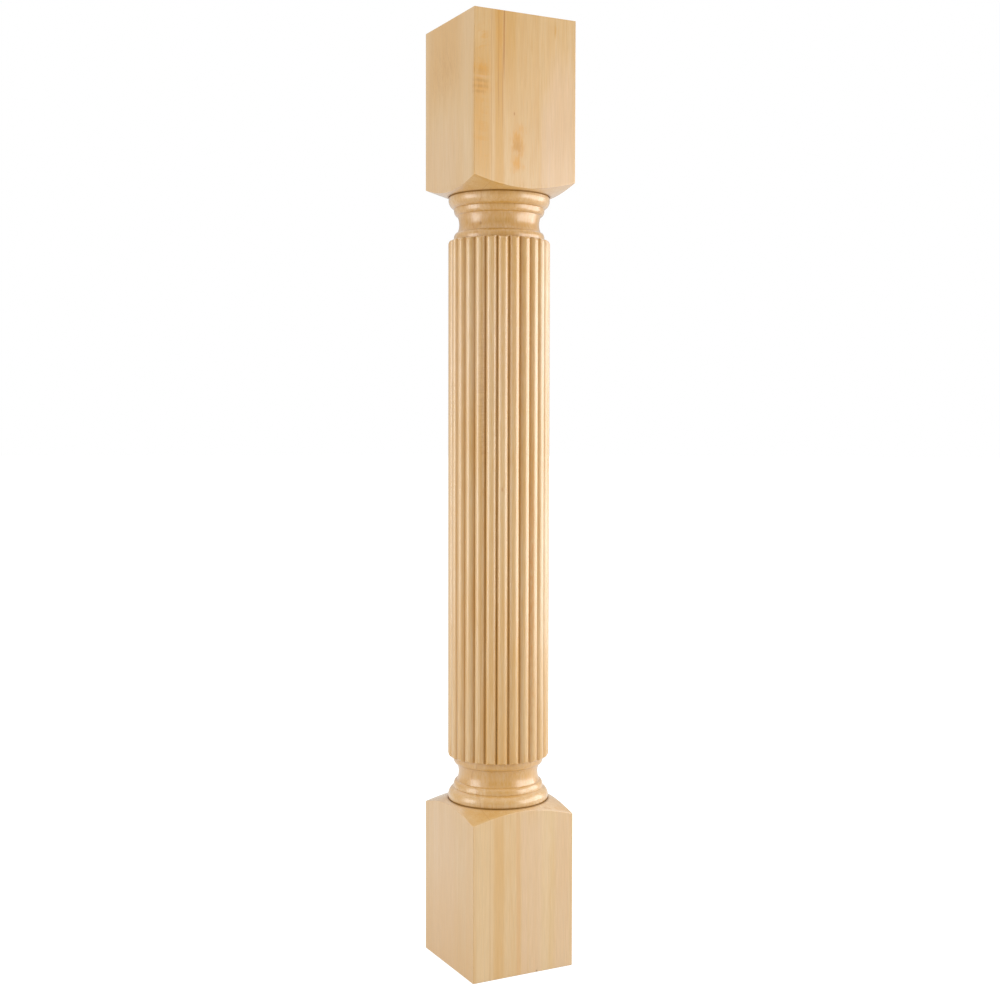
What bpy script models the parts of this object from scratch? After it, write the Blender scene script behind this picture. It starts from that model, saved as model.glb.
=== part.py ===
"""Reeded post in solid hardwood: two square blocks joined by a turned and reeded shaft.

The post is made as it is on the lathe. A square bar is turned between its two blocks,
which leaves the sloping shoulders, a moulding at each end of the shaft and a round shaft,
and the shaft is then worked into reeds. Metres, +Z up, origin at the middle of the foot.
"""

import math

import bmesh
import bpy

MM = 0.001

# Driving dimensions of the bar
POST_HEIGHT = 1073.0 * MM
BLOCK_WIDTH = 127.0 * MM
EDGE_CHAMFER = 0.7 * MM

# Each block is measured up the middle of a face, from its end to the edge of its shoulder
FOOT_BLOCK_LENGTH = 186.2 * MM
HEAD_BLOCK_LENGTH = 190.6 * MM
SHOULDER_ANGLE = math.radians(21.3)

# A narrow groove, the quirk, is cut into each shoulder round the root of the torus
ROOT_INSET = 7.3 * MM
QUIRK_WIDTH = 1.7 * MM
QUIRK_DEPTH = 1.1 * MM

# Turned moulding, the same at both ends, from the quirk towards the shaft
TORUS_HEIGHT = 15.7 * MM
TORUS_BULGE = 3.65 * MM
OVOLO_HEIGHT = 7.9 * MM
OVOLO_STEP = 4.1 * MM
COVE_HEIGHT = 18.9 * MM
COVE_DEPTH = 2.0 * MM
QUARTER_ROUND_HEIGHT = 6.1 * MM
FILLET_HEIGHT = 3.3 * MM

# Reeded shaft: its crests lie inside the bar's faces, and its valleys outside the fillets
SHAFT_INSET = 5.2 * MM
REED_COUNT = 26
REED_HALF_ARC = math.radians(82.0)
REED_TURN = math.radians(-1.6)
FILLET_STEP = 1.2 * MM
REED_END_LAND = 3.5 * MM
REED_END_EASE = 1.9 * MM
REED_END_EASE_ANGLE = math.radians(30.0)
REED_END_SLOPE = math.radians(70.0)

# How finely round shapes are faceted
TURNING_STEPS = 72
TORUS_STEPS = 7
OVOLO_STEPS = 4
COVE_STEPS = 5
REED_STEPS = 8

# The stock and the cutters pass this far beyond what they cut
CLEARANCE = 4.0 * MM
MERGE_DISTANCE = 0.00005
SHARP_ANGLE = math.radians(32.0)

WOOD_COLOUR = (0.73, 0.50, 0.28, 1.0)
WOOD_ROUGHNESS = 0.38


def clear_scene():
    """Remove what the scene holds."""
    for item in list(bpy.data.objects):
        bpy.data.objects.remove(item, do_unlink=True)


def new_collection(name):
    """Return a new collection linked to the scene."""
    collection = bpy.data.collections.new(name)
    bpy.context.scene.collection.children.link(collection)
    return collection


def move_to_collection(item, collection):
    """Keep an object in one collection only."""
    for holder in list(item.users_collection):
        holder.objects.unlink(item)
    collection.objects.link(item)


def evaluated_mesh(item):
    """Return a new mesh of an object as its modifiers leave it."""
    bpy.context.view_layer.update()
    graph = bpy.context.evaluated_depsgraph_get()
    return bpy.data.meshes.new_from_object(item.evaluated_get(graph))


def hardwood():
    """Return pale hardwood under a clear satin lacquer."""
    material = bpy.data.materials.new("maple_satin_lacquer")
    material.use_nodes = True
    shader = material.node_tree.nodes["Principled BSDF"]
    shader.inputs["Base Color"].default_value = WOOD_COLOUR
    shader.inputs["Roughness"].default_value = WOOD_ROUGHNESS
    shader.inputs["Metallic"].default_value = 0.0
    return material


def crest_radius():
    """Return the radius of the shaft over the crests of its reeds."""
    return BLOCK_WIDTH / 2 - SHAFT_INSET


def reed_radius():
    """Return the radius of one reed's rounding.

    Neighbouring reeds meet at half a pitch from each reed's crest, where each has turned
    through REED_HALF_ARC.
    """
    slope = math.tan(math.pi / REED_COUNT)
    return crest_radius() * slope / (math.sin(REED_HALF_ARC) + (1 - math.cos(REED_HALF_ARC)) * slope)


def valley_radius():
    """Return the radius of the shaft in the valleys between its reeds."""
    rounding = reed_radius()
    out = crest_radius() - rounding + rounding * math.cos(REED_HALF_ARC)
    return math.hypot(out, rounding * math.sin(REED_HALF_ARC))


def fillet_radius():
    """Return the radius of the bead and the fillet that edge each cove."""
    return valley_radius() - FILLET_STEP


def root_radius():
    """Return the radius of each torus at its root, in the bottom of the quirk."""
    return BLOCK_WIDTH / 2 - ROOT_INSET


def shoulder_distance(block_length, radius):
    """Return how far a block's shoulder lies from the block's end at a radius."""
    return block_length + (BLOCK_WIDTH / 2 - radius) * math.tan(SHOULDER_ANGLE)


def root_distance(block_length):
    """Return how far the root of the torus lies from the block's end."""
    return shoulder_distance(block_length, root_radius()) - QUIRK_DEPTH


def arc(start, end, bulge, steps):
    """Return points along a circular arc between two (radius, distance) points.

    The arc's middle lies the distance bulge outwards from the chord, or inwards where
    bulge is negative. Both ends are included.
    """
    chord = math.dist(start, end)
    radius = (chord * chord / 4 + bulge * bulge) / (2 * abs(bulge))
    half_angle = math.asin(chord / 2 / radius)
    along = ((end[0] - start[0]) / chord, (end[1] - start[1]) / chord)
    outward = (along[1], -along[0])
    side = math.copysign(1.0, bulge)
    points = []
    for step in range(steps + 1):
        angle = half_angle * (2 * step / steps - 1)
        forward = chord / 2 + radius * math.sin(angle)
        rise = side * (abs(bulge) - radius * (1 - math.cos(angle)))
        points.append((start[0] + along[0] * forward + outward[0] * rise,
                       start[1] + along[1] * forward + outward[1] * rise))
    return points


def quarter_round(start, end, steps):
    """Return points along a quarter ellipse that leaves start upright and ends level."""
    points = []
    for step in range(steps + 1):
        turn = math.pi / 2 * step / steps
        points.append((end[0] + (start[0] - end[0]) * math.cos(turn),
                       start[1] + (end[1] - start[1]) * math.sin(turn)))
    return points


def moulding():
    """Return torus, ovolo, cove and quarter round as (radius, distance from the root)."""
    outer = fillet_radius()
    inner = outer - OVOLO_STEP
    torus_end = TORUS_HEIGHT
    ovolo_end = torus_end + OVOLO_HEIGHT
    cove_end = ovolo_end + COVE_HEIGHT
    round_end = cove_end + QUARTER_ROUND_HEIGHT
    torus = arc((root_radius(), 0.0), (outer, torus_end), TORUS_BULGE, TORUS_STEPS)
    ovolo = quarter_round((outer, torus_end), (inner, ovolo_end), OVOLO_STEPS)
    cove = arc((inner, ovolo_end), (inner, cove_end), -COVE_DEPTH, COVE_STEPS)
    quarter = quarter_round((outer, round_end), (inner, cove_end), OVOLO_STEPS)
    return torus + ovolo[1:] + cove[1:-1] + quarter[::-1]


def moulding_height():
    """Return the distance from the root of the torus to the ends of the reeds."""
    return TORUS_HEIGHT + OVOLO_HEIGHT + COVE_HEIGHT + QUARTER_ROUND_HEIGHT + FILLET_HEIGHT


def reed_end():
    """Return the reeds' ends as (radius, distance from the root): a flat, then two slopes."""
    start = moulding_height()
    land = fillet_radius() + REED_END_LAND
    eased = (land + REED_END_EASE, start + REED_END_EASE * math.tan(REED_END_EASE_ANGLE))
    stock = crest_radius() + CLEARANCE
    end = eased[1] + (stock - eased[0]) * math.tan(REED_END_SLOPE)
    return [(fillet_radius(), start), (land, start), eased, (stock, end)]


def shoulder(block_length):
    """Return a shoulder as (radius, distance from its end), past the corners to the quirk."""
    rim = BLOCK_WIDTH / math.sqrt(2) + CLEARANCE
    edge = root_radius() + QUIRK_WIDTH
    return [(radius, shoulder_distance(block_length, radius)) for radius in (rim, edge)]


def turned_end(block_length):
    """Return one turned end, from past its block to the shaft, as (radius, distance from the end)."""
    slope = shoulder(block_length)
    root = root_distance(block_length)
    turned = [(radius, root + distance) for radius, distance in moulding() + reed_end()]
    return [(0.0, -CLEARANCE), (slope[0][0], -CLEARANCE)] + slope + turned


def turning_profile():
    """Return what the lathe leaves, as (radius, z) points from the top down."""
    head = [(radius, POST_HEIGHT - down) for radius, down in turned_end(HEAD_BLOCK_LENGTH)]
    foot = turned_end(FOOT_BLOCK_LENGTH)
    return head + foot[::-1]


def turned_stock(name, collection):
    """Return the turned shape, still round at its blocks, as a screwed profile."""
    mesh = bpy.data.meshes.new(name)
    shape = bmesh.new()
    corners = [shape.verts.new((radius, 0.0, z)) for radius, z in turning_profile()]
    for upper, lower in zip(corners, corners[1:]):
        shape.edges.new((upper, lower))
    shape.to_mesh(mesh)
    shape.free()
    item = bpy.data.objects.new(name, mesh)
    collection.objects.link(item)
    screw = item.modifiers.new("turning", "SCREW")
    screw.axis = "Z"
    screw.angle = math.tau
    screw.steps = TURNING_STEPS
    screw.render_steps = TURNING_STEPS
    screw.use_merge_vertices = True
    screw.merge_threshold = MERGE_DISTANCE
    return item


def square_bar(name, collection):
    """Return the square bar that the post is turned from, with its edges eased."""
    bpy.ops.mesh.primitive_cube_add(size=1.0, location=(0.0, 0.0, POST_HEIGHT / 2))
    item = bpy.context.object
    item.name = name
    move_to_collection(item, collection)
    item.scale = (BLOCK_WIDTH, BLOCK_WIDTH, POST_HEIGHT)
    bpy.ops.object.transform_apply(location=False, rotation=False, scale=True)
    bevel = item.modifiers.new("eased edges", "BEVEL")
    bevel.width = EDGE_CHAMFER
    bevel.segments = 1
    bevel.limit_method = "NONE"
    return item


def reed_outline():
    """Return the shaft's scalloped outline: one arc for each reed, from valley to valley."""
    rounding = reed_radius()
    centre = crest_radius() - rounding
    outline = []
    for reed in range(REED_COUNT):
        direction = -math.pi / 2 + REED_TURN + (2 * reed + 1) * math.pi / REED_COUNT
        for step in range(REED_STEPS):
            angle = REED_HALF_ARC * (2 * step / REED_STEPS - 1)
            out = centre + rounding * math.cos(angle)
            across = rounding * math.sin(angle)
            outline.append((out * math.cos(direction) - across * math.sin(direction),
                            out * math.sin(direction) + across * math.cos(direction)))
    return outline


def circle(radius, steps):
    """Return points around a circle."""
    turns = [math.tau * step / steps for step in range(steps)]
    return [(radius * math.cos(turn), radius * math.sin(turn)) for turn in turns]


def add_closed_line(curve, points):
    """Add a closed straight-edged outline to a flat curve."""
    line = curve.splines.new("POLY")
    line.points.add(len(points) - 1)
    for corner, (x, y) in zip(line.points, points):
        corner.co = (x, y, 0.0, 1.0)
    line.use_cyclic_u = True


def reed_cutter(name, collection):
    """Return the ring that leaves the reeds when it is cut from the round shaft.

    It runs half a fillet's height past each end of the shaft, where it clears the fillets.
    """
    reach = moulding_height() - FILLET_HEIGHT / 2
    bottom = root_distance(FOOT_BLOCK_LENGTH) + reach
    top = POST_HEIGHT - root_distance(HEAD_BLOCK_LENGTH) - reach
    curve = bpy.data.curves.new(name, "CURVE")
    curve.dimensions = "2D"
    curve.fill_mode = "BOTH"
    curve.extrude = (top - bottom) / 2
    add_closed_line(curve, reed_outline())
    add_closed_line(curve, circle(crest_radius() + 2 * CLEARANCE, TURNING_STEPS))
    drawn = bpy.data.objects.new(name + "_outline", curve)
    collection.objects.link(drawn)
    drawn.location.z = (top + bottom) / 2
    mesh = evaluated_mesh(drawn)
    welded = bmesh.new()
    welded.from_mesh(mesh)
    bmesh.ops.remove_doubles(welded, verts=welded.verts, dist=MERGE_DISTANCE)
    bmesh.ops.recalc_face_normals(welded, faces=welded.faces)
    welded.to_mesh(mesh)
    welded.free()
    item = bpy.data.objects.new(name, mesh)
    collection.objects.link(item)
    item.matrix_world = drawn.matrix_world
    bpy.data.objects.remove(drawn, do_unlink=True)
    return item


def hide_tool(item):
    """Show a cutter or the stock as wire only, and keep it out of renders."""
    item.hide_render = True
    item.display_type = "WIRE"


def cut(item, cutter, operation):
    """Add a Boolean step to an object."""
    step = item.modifiers.new(operation.lower() + " " + cutter.name, "BOOLEAN")
    step.operation = operation
    step.solver = "EXACT"
    step.object = cutter
    hide_tool(cutter)


def main():
    """Build the post."""
    clear_scene()
    part = new_collection("reeded_post")
    cutters = new_collection("cutters")
    stock = turned_stock("turned_stock", cutters)
    hide_tool(stock)
    cut(stock, square_bar("square_bar", cutters), "INTERSECT")
    cut(stock, reed_cutter("reed_ring", cutters), "DIFFERENCE")
    mesh = evaluated_mesh(stock)
    mesh.shade_smooth()
    mesh.set_sharp_from_angle(angle=SHARP_ANGLE)
    mesh.materials.append(hardwood())
    part.objects.link(bpy.data.objects.new("post", mesh))


main()
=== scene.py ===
"""Reeded post in glued-up maple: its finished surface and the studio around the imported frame.

The visible post is one mesh. Its surface runs column by column round the turning axis, up the
lathe's profile and inside the limits of the square bar, so that the blocks, shoulders, mouldings
and reeds join as they do in one turned piece of wood. Sizes are in millimetres, and become
metres where a mesh is made.
"""

import logging
import math
from collections.abc import Iterable
from dataclasses import dataclass, field, replace
from enum import Enum
from typing import ClassVar

import bpy
from mathutils import Matrix, Vector

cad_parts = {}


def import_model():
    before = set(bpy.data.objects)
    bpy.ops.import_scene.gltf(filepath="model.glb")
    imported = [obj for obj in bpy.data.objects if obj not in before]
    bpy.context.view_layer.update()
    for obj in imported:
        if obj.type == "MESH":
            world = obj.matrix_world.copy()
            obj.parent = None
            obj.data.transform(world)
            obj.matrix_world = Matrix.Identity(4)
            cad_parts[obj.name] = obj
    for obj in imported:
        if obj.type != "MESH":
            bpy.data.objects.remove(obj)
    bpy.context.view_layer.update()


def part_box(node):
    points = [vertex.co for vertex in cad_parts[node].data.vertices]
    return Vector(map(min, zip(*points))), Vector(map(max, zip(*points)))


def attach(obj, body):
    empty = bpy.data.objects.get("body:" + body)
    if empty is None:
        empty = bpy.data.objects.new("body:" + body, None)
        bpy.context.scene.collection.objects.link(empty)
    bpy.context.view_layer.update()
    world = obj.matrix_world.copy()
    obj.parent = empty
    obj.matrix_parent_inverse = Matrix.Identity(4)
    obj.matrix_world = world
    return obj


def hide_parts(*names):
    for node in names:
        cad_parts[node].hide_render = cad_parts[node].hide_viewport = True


# A millimetre in metres.
MM = 0.001

# Width and height of the picture in pixels.
IMAGE_SIZE = 1000

WHITE = (1.0, 1.0, 1.0, 1.0)

# Inputs of a Mix node, by number because its two values and its two colours share their names.
VALUE_A, VALUE_B = 2, 3
COLOUR_A, COLOUR_B = 6, 7

# How far the crests of the reeds lie inside the bar's faces.
CREST_INSET = 5.2

log = logging.getLogger("reeded_post")

Node = bpy.types.Node
Point = tuple[float, float]
Place = tuple[float, float, float]
Span = tuple[float, float]


def linear_colour(hex_value: str) -> tuple[float, float, float, float]:
    """Turn an sRGB hex colour into linear RGBA.

    Args:
        hex_value: The colour as six hex digits.

    Returns:
        Red, green, blue and alpha, from 0 to 1.
    """
    channels = []
    for start in (0, 2, 4):
        value = int(hex_value[start:start + 2], 16) / 255
        channels.append(value / 12.92 if value <= 0.04045 else ((value + 0.055) / 1.055) ** 2.4)
    return (*channels, 1.0)


def add_node(tree: bpy.types.NodeTree, kind: str, settings: dict | None = None,
             inputs: dict | None = None) -> Node:
    """Add a shader node with its settings and its links.

    Args:
        tree: The node tree that takes the node.
        kind: The node's type.
        settings: The node's own properties by name.
        inputs: What goes into each input, by the input's name or number: a value, an output
            socket, or a node, which is linked by the first output that it has in use.

    Returns:
        The new node.
    """
    node = tree.nodes.new(kind)
    for name, value in (settings or {}).items():
        setattr(node, name, value)
    for name, value in (inputs or {}).items():
        if isinstance(value, Node):
            value = next(output for output in value.outputs if output.enabled)
        if isinstance(value, bpy.types.NodeSocket):
            tree.links.new(value, node.inputs[name])
        else:
            node.inputs[name].default_value = value
    return node


def blank_material(name: str) -> bpy.types.Material:
    """Make a material that has no nodes yet.

    Args:
        name: Name of the material.

    Returns:
        The material.
    """
    material = bpy.data.materials.new(name)
    material.use_nodes = True
    material.node_tree.nodes.clear()
    return material


@dataclass(frozen=True)
class Knot:
    """A corner of a turned outline, with the size of its rounding.

    Attributes:
        radius: Distance from the turning axis.
        distance: Distance along the axis.
        ease: How far from the corner its rounding starts, or 0 for a sharp one.
        longest: Share of a line that a rounding takes at most, so that two of them never meet.
    """

    radius: float
    distance: float
    ease: float = 0.0
    longest: ClassVar[float] = 0.45

    def towards(self, other: "Knot") -> Point:
        """Find where this knot's rounding starts on the line to another knot.

        Args:
            other: The knot before this one, or the one after it.

        Returns:
            The rounding's start, as radius and distance.
        """
        span = math.dist((self.radius, self.distance), (other.radius, other.distance))
        share = min(self.ease, self.longest * span) / span if span else 0.0
        return (self.radius + (other.radius - self.radius) * share,
                self.distance + (other.distance - self.distance) * share)


def eased_outline(knots: list[Knot], steps: int = 3) -> list[Point]:
    """Round the corners of an outline.

    Args:
        knots: The outline's corners in order.
        steps: Straight pieces in each rounding.

    Returns:
        The outline's points, always as many for the same knots and steps.
    """
    points = []
    for number, knot in enumerate(knots):
        if knot.ease == 0.0:
            points.append((knot.radius, knot.distance))
            continue
        start = knot.towards(knots[number - 1])
        end = knot.towards(knots[number + 1])
        for step in range(steps + 1):
            share = step / steps
            weights = ((1 - share) ** 2, 2 * share * (1 - share), share ** 2)
            points.append(tuple(weights[0] * a + weights[1] * b + weights[2] * c
                                for a, b, c in zip(start, (knot.radius, knot.distance), end)))
    return points


def bulged_arc(start: Point, end: Point, bulge: float, steps: int) -> list[Knot]:
    """Return knots along a circular arc.

    Args:
        start: First point, as radius and distance.
        end: Last point.
        bulge: How far the arc's middle lies outside the chord, or inside where negative.
        steps: Pieces in the arc.

    Returns:
        The arc's knots, with both ends.
    """
    chord = math.dist(start, end)
    radius = (chord * chord / 4 + bulge * bulge) / (2 * abs(bulge))
    half_angle = math.asin(chord / 2 / radius)
    along = ((end[0] - start[0]) / chord, (end[1] - start[1]) / chord)
    outward = (along[1], -along[0])
    side = math.copysign(1.0, bulge)
    knots = []
    for step in range(steps + 1):
        angle = half_angle * (2 * step / steps - 1)
        forward = chord / 2 + radius * math.sin(angle)
        rise = side * (abs(bulge) - radius * (1 - math.cos(angle)))
        knots.append(Knot(start[0] + along[0] * forward + outward[0] * rise,
                          start[1] + along[1] * forward + outward[1] * rise))
    return knots


def quarter_round(upright: Point, level: Point, steps: int) -> list[Knot]:
    """Return knots along a quarter ellipse.

    Args:
        upright: The end where the curve runs along the axis.
        level: The end where the curve runs square to the axis.
        steps: Pieces in the curve.

    Returns:
        The curve's knots from the upright end to the level one.
    """
    knots = []
    for step in range(steps + 1):
        turn = math.pi / 2 * step / steps
        knots.append(Knot(level[0] + (upright[0] - level[0]) * math.cos(turn),
                          upright[1] + (level[1] - upright[1]) * math.sin(turn)))
    return knots


class Sheen(Enum):
    """Roughness of a clear lacquer, by how it was rubbed out."""

    SATIN = 0.22
    MATT = 0.5


class Tone(Enum):
    """Tones of hard maple under clear lacquer, and of the dust and painted shade in its grooves, in
    sRGB.
    """

    PALE = "D8BC92"
    CREAM = "D1AE7A"
    TAN = "CBA164"
    HONEY = "C89850"
    GOLD = "CC9028"
    UMBER = "A67218"
    ORANGE = "CC8A38"
    AMBER = "C8943C"
    RUST = "AE7430"
    # Dark dust in the grooves, which also serves as painted shade there.
    BROWN = "63390F"
    DUST_AND_SHADE = "8A5C1A"
    ROSE = "D3B08A"


class Face(Enum):
    """A long face of the square bar, as the axis across it and the axis square to it."""

    FRONT = ("X", "Y")
    LEFT = ("Y", "X")

    @property
    def across(self) -> str:
        """The axis across the face."""
        return self.value[0]

    @property
    def outward(self) -> str:
        """The axis square to the face."""
        return self.value[1]


# How much of a tone lies on each place, and the tone.
Layer = tuple[Node, Tone]


@dataclass(frozen=True)
class Figure:
    """A figure of the wood: soft noise that is drawn out along the grain.

    Attributes:
        width: Its size across the grain.
        length: Its size along the grain.
        layers: How many finer layers it has.
        roughness: How plainly the finer layers show.
    """

    width: float
    length: float
    layers: float
    roughness: float = 0.55


@dataclass(frozen=True)
class WoodSpace:
    """The nodes of a finish, with the coordinates that it is drawn in, in millimetres.

    Attributes:
        tree: The material's nodes.
        place: The surface's own coordinates.
        axes: The same coordinates, one by one.
        grain: The same coordinates, shifted from stave to stave.
        stave_shift: How far they are shifted from one stave to the next.
    """

    tree: bpy.types.NodeTree
    place: Node
    axes: Node
    grain: Node
    stave_shift: ClassVar[Place] = (41.0, 97.0, 383.0)

    @classmethod
    def of(cls, tree: bpy.types.NodeTree, glue_lines: tuple[float, ...] = ()) -> "WoodSpace":
        """Add the coordinates to a material's nodes.

        Args:
            tree: The material's nodes.
            glue_lines: Places along X where two staves meet. Each stave gets its own figure.

        Returns:
            The coordinates.
        """
        source = add_node(tree, "ShaderNodeTexCoord")
        place = add_node(tree, "ShaderNodeVectorMath", {"operation": "SCALE"},
                         {0: source.outputs["Object"], "Scale": 1 / MM})
        axes = add_node(tree, "ShaderNodeSeparateXYZ", inputs={"Vector": place})
        grain = place
        for number, glue_line in enumerate(glue_lines, 1):
            beyond = add_node(tree, "ShaderNodeMath", {"operation": "GREATER_THAN"},
                              {0: axes.outputs["X"], 1: glue_line})
            step = add_node(tree, "ShaderNodeVectorMath", {"operation": "SCALE"},
                            {0: Vector(cls.stave_shift) * number, "Scale": beyond})
            grain = add_node(tree, "ShaderNodeVectorMath", {"operation": "ADD"},
                             {0: grain, 1: step})
        return cls(tree, place, axes, grain)

    def draw(self, figure: Figure, coordinates: Node) -> Node:
        """Draw a figure.

        Args:
            figure: The figure.
            coordinates: The coordinates that it is drawn in.

        Returns:
            A node that gives values round 0.5.
        """
        squeezed = add_node(self.tree, "ShaderNodeVectorMath", {"operation": "MULTIPLY"}, {
            0: coordinates, 1: (1 / figure.width, 1 / figure.width, 1 / figure.length)})
        return add_node(self.tree, "ShaderNodeTexNoise", inputs={
            "Vector": squeezed, "Scale": 1.0, "Detail": figure.layers,
            "Roughness": figure.roughness})

    def from_axis(self, coordinates: Node) -> Node:
        """Find how far places lie from the Z axis of their coordinates.

        Args:
            coordinates: The coordinates.

        Returns:
            A node that gives the distance.
        """
        flat = add_node(self.tree, "ShaderNodeVectorMath", {"operation": "MULTIPLY"},
                        {0: coordinates, 1: (1.0, 1.0, 0.0)})
        return add_node(self.tree, "ShaderNodeVectorMath", {"operation": "LENGTH"}, {0: flat})

    def lay(self, colour: Node, layers: Iterable[Layer]) -> Node:
        """Lay tones over a colour, one after another.

        Args:
            colour: The colour underneath.
            layers: Each tone's share, and the tone.

        Returns:
            A node that gives the colour that comes of it.
        """
        for share, tone in layers:
            colour = add_node(self.tree, "ShaderNodeMix", {"data_type": "RGBA"}, {
                "Factor": share, COLOUR_A: colour, COLOUR_B: linear_colour(tone.value)})
        return colour


@dataclass(frozen=True)
class Veil:
    """A tone that comes and goes all over the wood with a figure of its own.

    Attributes:
        figure: The figure.
        clear: Level of the figure where the tone sets in.
        full: Level of the figure where the tone is strongest.
        tone: The tone.
        strength: Share of the tone where it is strongest.
    """

    figure: Figure
    clear: float
    full: float
    tone: Tone
    strength: float

    def share(self, wood: WoodSpace) -> Node:
        """Work out how much of its tone the veil lays on each place.

        Args:
            wood: The wood's coordinates.

        Returns:
            A node that gives the share.
        """
        return add_node(wood.tree, "ShaderNodeMapRange", inputs={
            "Value": wood.draw(self.figure, wood.grain), "From Min": self.clear,
            "From Max": self.full, "To Max": self.strength})


@dataclass(frozen=True)
class Strip:
    """A strip of one tone that runs along the grain on one face of the bar.

    Attributes:
        across: Place of the strip's middle across the face.
        width: The strip's full width.
        tone: The strip's tone.
        strength: Share of the tone in the middle of the strip.
        low: Height where the strip fades out downwards, or None where it runs on.
        high: Height where the strip fades out upwards, or None where it runs on.
        fade: Length over which the strip's ends fade.
        face: The face that it lies on.
        core: How far from the middle the tone starts to fade, as a share of the width.
        edge: How far from the middle the tone has gone, as a share of the width.
        sway_reach: How far the grain sways to one side and back.
    """

    across: float
    width: float
    tone: Tone
    strength: float
    low: float | None = None
    high: float | None = None
    fade: float = 60.0
    face: Face = Face.FRONT
    core: ClassVar[float] = 0.3
    edge: ClassVar[float] = 0.65
    sway_reach: ClassVar[float] = 4.0

    def share(self, wood: WoodSpace, sway: Node, on_face: Node) -> Node:
        """Work out how much of its tone the strip lays on each place.

        Args:
            wood: The wood's coordinates.
            sway: How far the grain has swayed, from 0 to 1.
            on_face: 1 at the strip's face, and 0 elsewhere.

        Returns:
            A node that gives the share.
        """
        tree = wood.tree
        swayed = add_node(tree, "ShaderNodeMath", {"operation": "MULTIPLY_ADD"},
                          {0: sway, 1: self.sway_reach, 2: wood.axes.outputs[self.face.across]})
        offset = add_node(tree, "ShaderNodeMath", {"operation": "SUBTRACT"},
                          {0: swayed, 1: self.across + self.sway_reach / 2})
        away = add_node(tree, "ShaderNodeMath", {"operation": "ABSOLUTE"}, {0: offset})
        band = add_node(tree, "ShaderNodeMapRange", {"interpolation_type": "SMOOTHSTEP"}, {
            "Value": away, "From Min": self.edge * self.width,
            "From Max": self.core * self.width, "To Max": self.strength})
        share = add_node(tree, "ShaderNodeMath", {"operation": "MULTIPLY"}, {0: band, 1: on_face})
        for height, sign in ((self.low, 1), (self.high, -1)):
            if height is None:
                continue
            fade = add_node(tree, "ShaderNodeMapRange", {"interpolation_type": "SMOOTHSTEP"}, {
                "Value": wood.axes.outputs["Z"], "From Min": height,
                "From Max": height + sign * self.fade})
            share = add_node(tree, "ShaderNodeMath", {"operation": "MULTIPLY"}, {0: share, 1: fade})
        return share


@dataclass(frozen=True)
class Mark:
    """A mark with a soft edge, from a pin knot or a gum fleck to a broad shade.

    Attributes:
        place: Its middle, along X, Y and Z.
        size: Its half-lengths along X, Y and Z.
        tone: Its tone.
        strength: Share of the tone in its middle.
        fray_reach: How far its edge is frayed, in half-lengths.
        core: How far from the middle the tone starts to fade, in half-lengths with the fray.
        edge: How far from the middle the tone has gone, in half-lengths with the fray.
    """

    place: Place
    size: Place
    tone: Tone
    strength: float
    fray_reach: ClassVar[float] = 1.6
    core: ClassVar[float] = 0.7
    edge: ClassVar[float] = 1.9

    def share(self, wood: WoodSpace, fray: Node) -> Node:
        """Work out how much of its tone the mark lays on each place.

        Args:
            wood: The wood's coordinates.
            fray: How far the edge is frayed, from 0 to 1.

        Returns:
            A node that gives the share.
        """
        tree = wood.tree
        offset = add_node(tree, "ShaderNodeVectorMath", {"operation": "SUBTRACT"},
                          {0: wood.place, 1: self.place})
        scaled = add_node(tree, "ShaderNodeVectorMath", {"operation": "DIVIDE"},
                          {0: offset, 1: self.size})
        away = add_node(tree, "ShaderNodeVectorMath", {"operation": "LENGTH"}, {0: scaled})
        frayed = add_node(tree, "ShaderNodeMath", {"operation": "MULTIPLY_ADD"},
                          {0: fray, 1: self.fray_reach, 2: away})
        return add_node(tree, "ShaderNodeMapRange", {"interpolation_type": "SMOOTHSTEP"}, {
            "Value": frayed, "From Min": self.edge, "From Max": self.core,
            "To Max": self.strength})


@dataclass(frozen=True)
class CurlPatch(Mark):
    """A patch of curly figure, where the fibres wave and short darker bars lie across them.

    Attributes:
        bars: Figure of its bars.
        lean: Turn of the bars on the face, in degrees.
        face: The face that it lies on.
        clear: Level of the figure where a bar sets in.
        full: Level of the figure where a bar is darkest.
    """

    bars: Figure
    lean: float
    face: Face = Face.FRONT
    clear: ClassVar[float] = 0.46
    full: ClassVar[float] = 0.62

    def share(self, wood: WoodSpace, fray: Node) -> Node:
        """Work out how much of its tone the patch lays on each place.

        Args:
            wood: The wood's coordinates.
            fray: How far the edge is frayed, from 0 to 1.

        Returns:
            A node that gives the share.
        """
        turned = add_node(wood.tree, "ShaderNodeVectorRotate",
                          {"rotation_type": self.face.outward + "_AXIS"},
                          {"Vector": wood.place, "Angle": math.radians(self.lean)})
        dark = add_node(wood.tree, "ShaderNodeMapRange", inputs={
            "Value": wood.draw(self.bars, turned), "From Min": self.clear,
            "From Max": self.full})
        return add_node(wood.tree, "ShaderNodeMath", {"operation": "MULTIPLY"},
                        {0: dark, 1: super().share(wood, fray)})


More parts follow.
